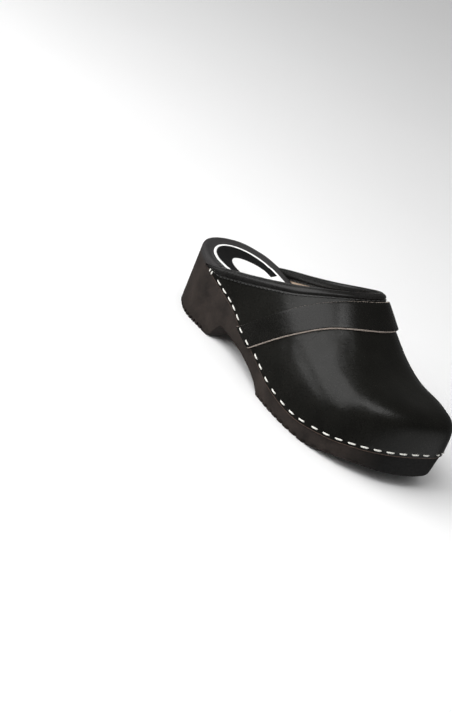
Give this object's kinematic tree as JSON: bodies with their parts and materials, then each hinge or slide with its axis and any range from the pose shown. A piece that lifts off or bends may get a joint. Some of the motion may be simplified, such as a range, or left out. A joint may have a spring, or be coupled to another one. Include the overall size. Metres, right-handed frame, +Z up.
{
  "type": "work clog",
  "caption": "Right work clog: black leather upper with a padded roll and an instep strap, open at the heel, on a one-piece moulded sole with a raised heel and a treaded forefoot.",
  "frame": {"origin": "on the floor under the middle of the clog's bounding box", "axes": "+X from the heel to the toe, +Y to the inner side of the foot, +Z up"},
  "size_m": [0.2592, 0.0992, 0.0964],
  "materials": {
    "moulded_sole": "matte moulded foam skin",
    "upper_leather": "smooth, semi-gloss",
    "collar_leather": "soft, satin",
    "strap_leather": "smooth, satin",
    "printed_label": "smooth print on a thin woven label"
  },
  "bodies": {
    "root": {"sole": "moulded_sole", "upper": "upper_leather", "collar": "collar_leather", "strap": "strap_leather", "heel_label": "printed_label"}
  },
  "joints": []
}
